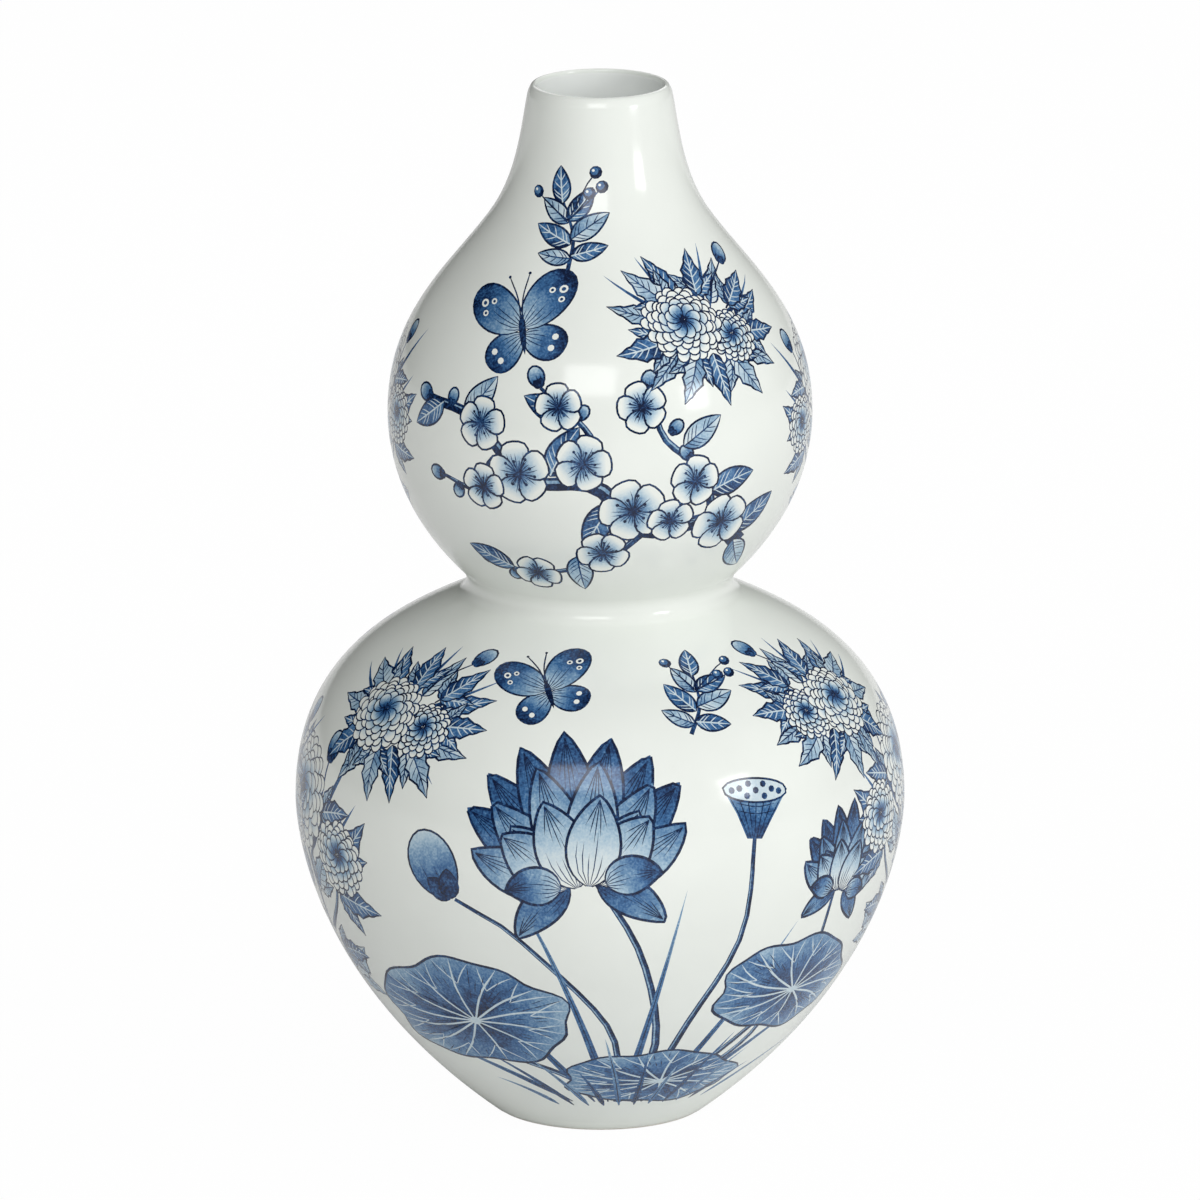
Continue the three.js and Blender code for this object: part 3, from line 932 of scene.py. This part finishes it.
upper_shoulder = closed(
    skin("upper_shoulder_wall", upper_joint, neck_joint, STRIP),
    lining(rim(neck_joint),
           lap_up(neck_joint) + inner_wall(neck_joint + LAP, upper_joint + LAP) + lap_up(upper_joint)[::-1],
           rim(upper_joint), BAND),
)


def rounded(start, first, last, radius, steps):
    """The points of a round that goes on from a point, turning from one facing to another."""
    turn = np.linspace(first, last, steps)
    centre = start - radius * np.array([math.cos(first), math.sin(first)])
    return (centre + radius * np.stack([np.cos(turn), np.sin(turn)], 1))[1:]


# The lip: a soft bend inwards, a tighter round over the top, and a small one down to the inside
soft_bend = rounded(wall_at(skin_top), LIP_LEAN, LIP_TURN, LIP_CURVE, 8)
brow_radius = (top_z - soft_bend[-1, 1]) / (1 - math.sin(LIP_TURN))
brow = rounded(soft_bend[-1], LIP_TURN, math.pi / 2, brow_radius, 9)
lip_inside_s = lip_s - LIP_INSIDE
inner_bend = curve(brow[-1], leaning(math.pi / 2, LIP_REACH[0]), -leaning(LIP_LEAN, LIP_REACH[1]),
                   wall_at(lip_inside_s, 1.0), 7)
lip_profile = [tuple(p) for p in np.concatenate([soft_bend, brow, inner_bend[1:-1]])]
neck = closed(
    skin("neck_and_lip", neck_joint, skin_top, NECK_STRIP),
    lining(rim(skin_top),
           lip_profile + inner_wall(lip_inside_s, neck_joint + LAP, NECK_ROW) + lap_up(neck_joint)[::-1],
           rim(neck_joint), NECK_BAND, len(lip_profile)),
)

# The foot: a turned ring whose outside runs on from the body, rounded where it stands
EDGE_STEPS = 7
edge_lean = math.pi / 2 - BODY_FLARE
edge_radius = FOOT_EDGE / math.tan(edge_lean / 2)
foot_profile = []
for turn in np.linspace(0, math.pi / 2, EDGE_STEPS):
    foot_profile.append((foot_inside + FOOT_EDGE * (1 - math.cos(turn)), FOOT_EDGE * (1 - math.sin(turn))))
for turn in np.linspace(0, edge_lean, EDGE_STEPS):
    foot_profile.append((FOOT_RADIUS - FOOT_EDGE + edge_radius * math.sin(turn),
                         edge_radius - edge_radius * math.cos(turn)))
foot_profile += [tuple(p) for p in wall_at(np.linspace(FOOT_EDGE, foot_top_s, 6)[1:])]
foot_profile += [(foot_inside, FOOT_HEIGHT)]
count = len(foot_profile)
foot = new_piece("turned_foot", [(0, -r * MM, z * MM) for r, z in foot_profile],
                 [(k, (k + 1) % count) for k in range(count)], [])
bpy.ops.object.mode_set(mode="EDIT")
bpy.ops.mesh.select_all(action="SELECT")
bpy.ops.mesh.spin(steps=COLUMNS, angle=2 * math.pi, center=(0, 0, 0), axis=(0, 0, 1))
bpy.ops.mesh.select_all(action="SELECT")
bpy.ops.mesh.remove_doubles(threshold=FOOT_TOUCHING)
bpy.ops.mesh.normals_make_consistent(inside=False)
bpy.ops.object.mode_set(mode="OBJECT")
bpy.ops.object.shade_smooth_by_angle(angle=FOOT_CREASE)


# The finishes are built from nodes, which two small classes add
class Wire:
    """One socket of a finish; sums on it add the nodes that work them out."""

    def __init__(self, finish, socket):
        self.finish, self.socket = finish, socket

    def maths(self, operation, first, second):
        return self.finish.add("Math", {"operation": operation}, {0: first, 1: second})

    def __add__(self, other):
        return self.maths("ADD", self, other)

    def __radd__(self, other):
        return self.maths("ADD", other, self)

    def __sub__(self, other):
        return self.maths("SUBTRACT", self, other)

    def __rsub__(self, other):
        return self.maths("SUBTRACT", other, self)

    def __mul__(self, other):
        return self.maths("MULTIPLY", self, other)

    def __rmul__(self, other):
        return self.maths("MULTIPLY", other, self)


class Finish:
    """A material, or the world, and the nodes that make it."""

    def __init__(self, name, owner=None):
        self.owner = owner or bpy.data.materials.new(name)
        self.owner.use_nodes = True
        self.tree = self.owner.node_tree
        self.tree.nodes.clear()

    def add(self, kind, settings=None, sockets=None, out=0):
        """A node of some kind: its settings first, then the values or wires of its sockets."""
        node = self.tree.nodes.new("ShaderNode" + kind)
        for key, value in (settings or {}).items():
            if key == "stops":
                ramp = node.color_ramp
                while len(ramp.elements) < len(value):
                    ramp.elements.new(0.5)
                for stop, (place, colour) in zip(ramp.elements, value):
                    stop.position, stop.color = place, (*colour, 1)
            else:
                setattr(node, key, value)
        for key, value in (sockets or {}).items():
            if isinstance(value, Wire):
                self.tree.links.new(value.socket, node.inputs[key])
            else:
                node.inputs[key].default_value = value
        return Wire(self, node.outputs[out]) if len(node.outputs) else None

    def noise(self, scale, detail=2.0, roughness=0.5):
        place = self.add("TexCoord", out="Object")
        return self.add("TexNoise", None, {"Vector": place, "Scale": scale, "Detail": detail,
                                           "Roughness": roughness})


# The glaze: a greenish white, with painted light making it lighter on the inner walls and under the base,
# over blue that goes from a pale wash to near black
GLAZE = (0.80, 0.83, 0.785)
INNER_GLAZE_PAINTED_LIGHT = (0.92, 0.95, 0.925)
GLAZE_IOR = 1.5
BLUES = (
    (0.0, GLAZE), (0.13, (0.63, 0.71, 0.73)), (0.27, (0.39, 0.53, 0.635)), (0.43, (0.15, 0.28, 0.44)),
    (0.6, (0.042, 0.135, 0.305)), (0.8, (0.012, 0.045, 0.135)), (1.0, (0.0015, 0.008, 0.036)),
)

# How fine the patterns in the glaze and the clay are, in waves to the metre
WASHES, POOLS, CLOUDS, SPECKS, RIPPLES, PITS = 140, 900, 22, 420, 34, 500
DRIPS, GRITS = 160, 1400

glaze = Finish("painted_glaze")
blue = glaze.add("Attribute", {"attribute_name": "blue"}, out="Fac")
wash = glaze.noise(WASHES, 3.0, 0.6)
pooled = glaze.noise(POOLS, 2.0)
watery = blue * (1 + (wash - 0.5) * 0.8 + (pooled - 0.5) * 0.9)
colour = glaze.add("ValToRGB", {"stops": BLUES}, {"Fac": watery})
cloud = glaze.noise(CLOUDS, 2.0)
speck = glaze.noise(SPECKS, 1.0)
tint = glaze.add("ValToRGB", {"stops": ((0.3, (0.965, 0.965, 0.965)), (0.7, (1, 1, 1)))}, {"Fac": cloud})
colour = glaze.add("Mix", {"data_type": "RGBA", "blend_type": "MULTIPLY"},
                   {"Factor": 1.0, 6: colour, 7: tint}, out=2)
# Painted light: faces marked inside take a lighter glaze, standing in for light in the hollows
painted_light_inside = glaze.add("Attribute", {"attribute_name": "inside"}, out="Fac")
colour = glaze.add("Mix", {"data_type": "RGBA"}, {"Factor": painted_light_inside, 6: colour, 7: (*INNER_GLAZE_PAINTED_LIGHT, 1)}, out=2)
ripple = glaze.noise(RIPPLES, 2.0) + 0.06 * glaze.noise(PITS, 1.0)
bump = glaze.add("Bump", None, {"Strength": 0.12, "Distance": 0.0006, "Height": ripple})
shader = glaze.add("BsdfPrincipled", None, {
    "Base Color": colour, "Roughness": 0.1 + 0.05 * cloud + 0.02 * speck, "Normal": bump, "IOR": GLAZE_IOR,
})
glaze.add("OutputMaterial", None, {"Surface": shader})

# The foot: bare clay below an uneven glaze line
GLAZE_LINE, LINE_SOFT, LINE_WAVE = 1.0, 0.15, 1.2
BARE_CLAY, CLAY_SHADE = (0.78, 0.75, 0.68), 0.8
unglazed = Finish("bare_foot")
height = unglazed.add("SeparateXYZ", None, {"Vector": unglazed.add("TexCoord", out="Object")}, out="Z")
uneven = unglazed.noise(DRIPS, 2.0)
glazed = unglazed.add("MapRange", {"clamp": True}, {
    "Value": height + (uneven - 0.5) * (LINE_WAVE * MM),
    "From Min": (GLAZE_LINE - LINE_SOFT) * MM,
    "From Max": (GLAZE_LINE + LINE_SOFT) * MM,
})
grit = unglazed.noise(GRITS, 3.0, 0.7)
dark_clay = tuple(CLAY_SHADE * part for part in BARE_CLAY)
clay = unglazed.add("ValToRGB", {"stops": ((0.3, dark_clay), (0.7, BARE_CLAY))}, {"Fac": grit})
foot_colour = unglazed.add("Mix", {"data_type": "RGBA"}, {"Factor": glazed, 6: clay, 7: (*GLAZE, 1)}, out=2)
grain = unglazed.add("Bump", None, {"Strength": 0.3, "Distance": 0.0003, "Height": grit * (1 - glazed)})
shader = unglazed.add("BsdfPrincipled", None, {
    "Base Color": foot_colour, "Roughness": 0.86 - 0.77 * glazed, "Normal": grain, "IOR": GLAZE_IOR,
})
unglazed.add("OutputMaterial", None, {"Surface": shader})

# Each piece takes its finish, rides on the one body and stands for its CAD nodes
for piece, nodes in (
    (lower_body, ("lower_bowl", "foot_slip_seam")),
    (lower_shoulder, ("lower_shoulder", "lower_belly_slip_seam")),
    (upper_body, ("upper_bowl", "waist_slip_seam")),
    (upper_shoulder, ("upper_shoulder", "upper_belly_slip_seam")),
    (neck, ("neck", "neck_slip_seam")),
    (foot, ("foot_ring",)),
):
    piece.data.materials.clear()
    piece.data.materials.append(unglazed.owner if piece is foot else glaze.owner)
    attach(piece, "root")
    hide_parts(*nodes)

# The floor: plain white but for a trace of shadow, brighter on the right where it lights the vase, and with a
# painted shadow near the vase where the glaze mirrors it
FLOOR_SIZE, FLOOR_DROP = 14.0, 0.1 * MM
WHITENESS, PAPER, TABLE_MIRROR = 0.98, 0.9, 0.15
TABLE_GLOW, TABLE_REACH = 0.2, 0.5
SHADE_INNER, SHADE_OUTER = 0.12, 0.9
bpy.ops.object.select_all(action="DESELECT")
bpy.ops.mesh.primitive_circle_add(vertices=96, radius=FLOOR_SIZE, fill_type="NGON",
                                  location=(0, 0, -FLOOR_DROP))
floor = bpy.context.object
floor.name = "floor"
paper = Finish("white_paper")
seen = paper.add("LightPath", out="Is Camera Ray")
mirrored = paper.add("LightPath", out="Is Glossy Ray")
through = paper.add("LightPath", out="Is Transmission Ray")
lit_by = paper.add("LightPath", out="Is Diffuse Ray")
sheet = paper.add("BsdfDiffuse", None, {"Color": (PAPER, PAPER, PAPER, 1)})
white = paper.add("Emission", None, {"Color": (1, 1, 1, 1), "Strength": 1.0})
place = paper.add("TexCoord", out="Object")
off_axis = paper.add("VectorMath", {"operation": "LENGTH"}, {0: place}, out="Value")
# Painted shadow: the floor's white, as the glaze mirrors it, fades out near the vase
clear = paper.add("MapRange", {"interpolation_type": "SMOOTHSTEP"},
                  {"Value": off_axis, "From Min": SHADE_INNER, "From Max": SHADE_OUTER})
plain_white = WHITENESS * seen.maths("MAXIMUM", seen, through)
across = paper.add("SeparateXYZ", None, {"Vector": place}, out="X")
lit_side = paper.add("MapRange", {"clamp": True},
                     {"Value": across, "From Min": -TABLE_REACH, "From Max": TABLE_REACH})
shown_as = plain_white + TABLE_MIRROR * mirrored * clear + TABLE_GLOW * lit_side * lit_by
surface = paper.add("MixShader", None, {0: shown_as, 1: sheet, 2: white})
paper.add("OutputMaterial", None, {"Surface": surface})
floor.data.materials.append(paper.owner)


def direction(azimuth, elevation):
    """The way from the vase, so many degrees round from the front and so many up."""
    az, el = math.radians(azimuth), math.radians(elevation)
    return Vector((math.sin(az) * math.cos(el), -math.cos(az) * math.cos(el), math.sin(el)))


# Broad glows of the pale room: where each is, how bright, and how narrow; the glaze mirrors a dimmer room
GLOWS = ((-45, 50, 0.33), (0, 10, 0.56), (0, 45, 0.47), (45, 10, 0.78), (45, 45, 0.34), (90, 10, 0.53),
         (130, 25, 0.56))
FOCUS = 4.0
ROOM, ROOM_MIRROR = 0.0, 0.2
room = Finish("studio", bpy.data.worlds.new("studio"))
bpy.context.scene.world = room.owner
look = room.add("TexCoord", out="Generated")
light = ROOM
for azimuth, elevation, bright in GLOWS:
    toward = room.add("VectorMath", {"operation": "DOT_PRODUCT"},
                      {0: look, 1: direction(azimuth, elevation)}, out="Value")
    near = toward.maths("MAXIMUM", toward, 0.0)
    light = light + bright * near.maths("POWER", near, FOCUS)
light = light * (1 - (1 - ROOM_MIRROR) * room.add("LightPath", out="Is Glossy Ray"))
dim = room.add("Background", None, {"Color": (1, 1, 1, 1), "Strength": light})
plain = room.add("Background", None, {"Color": (1, 1, 1, 1), "Strength": 1.0})
looked_at = room.add("LightPath", out="Is Camera Ray")
surface = room.add("MixShader", None, {0: looked_at, 1: dim, 2: plain})
room.add("OutputWorld", None, {"Surface": surface})


# The lamps
LAMPS_AIM_Z = 0.3


def softbox(name, azimuth, elevation, distance, width, height, power):
    """A lamp panel that faces the vase."""
    toward = direction(azimuth, elevation)
    data = bpy.data.lights.new(name, "AREA")
    data.shape, data.size, data.size_y, data.energy = "RECTANGLE", width, height, power
    lamp = bpy.data.objects.new(name, data)
    bpy.context.collection.objects.link(lamp)
    lamp.location = Vector((0, 0, LAMPS_AIM_Z)) + toward * distance
    lamp.rotation_euler = (-toward).to_track_quat("-Z", "Y").to_euler()


softbox("key_softbox", azimuth=-6, elevation=32, distance=2.2, width=1.04, height=0.64, power=8.5)
softbox("side_softbox", azimuth=54.5, elevation=17, distance=2.4, width=0.5, height=0.5, power=7.0)
softbox("back_softbox", azimuth=180, elevation=35, distance=2.4, width=1.6, height=1.2, power=12.0)

# The camera, placed as the photograph's was
CAMERA_DISTANCE, CAMERA_RISE, AIM_Z = 7.387, math.radians(14.79), 0.2480
PIXELS_PER_MM, IMAGE_WIDTH, SENSOR, FARTHEST = 2.103, 1200, 36, 60
camera = bpy.data.objects.new("camera", bpy.data.cameras.new("camera"))
bpy.context.collection.objects.link(camera)
camera.location = Vector((0, 0, AIM_Z)) + direction(0, math.degrees(CAMERA_RISE)) * CAMERA_DISTANCE
camera.rotation_euler = (math.pi / 2 - CAMERA_RISE, 0, 0)
camera.data.sensor_width = SENSOR
camera.data.lens = SENSOR * PIXELS_PER_MM * CAMERA_DISTANCE / MM / IMAGE_WIDTH
camera.data.clip_end = FARTHEST
bpy.context.scene.camera = camera
bpy.context.scene.view_settings.view_transform = "Standard"
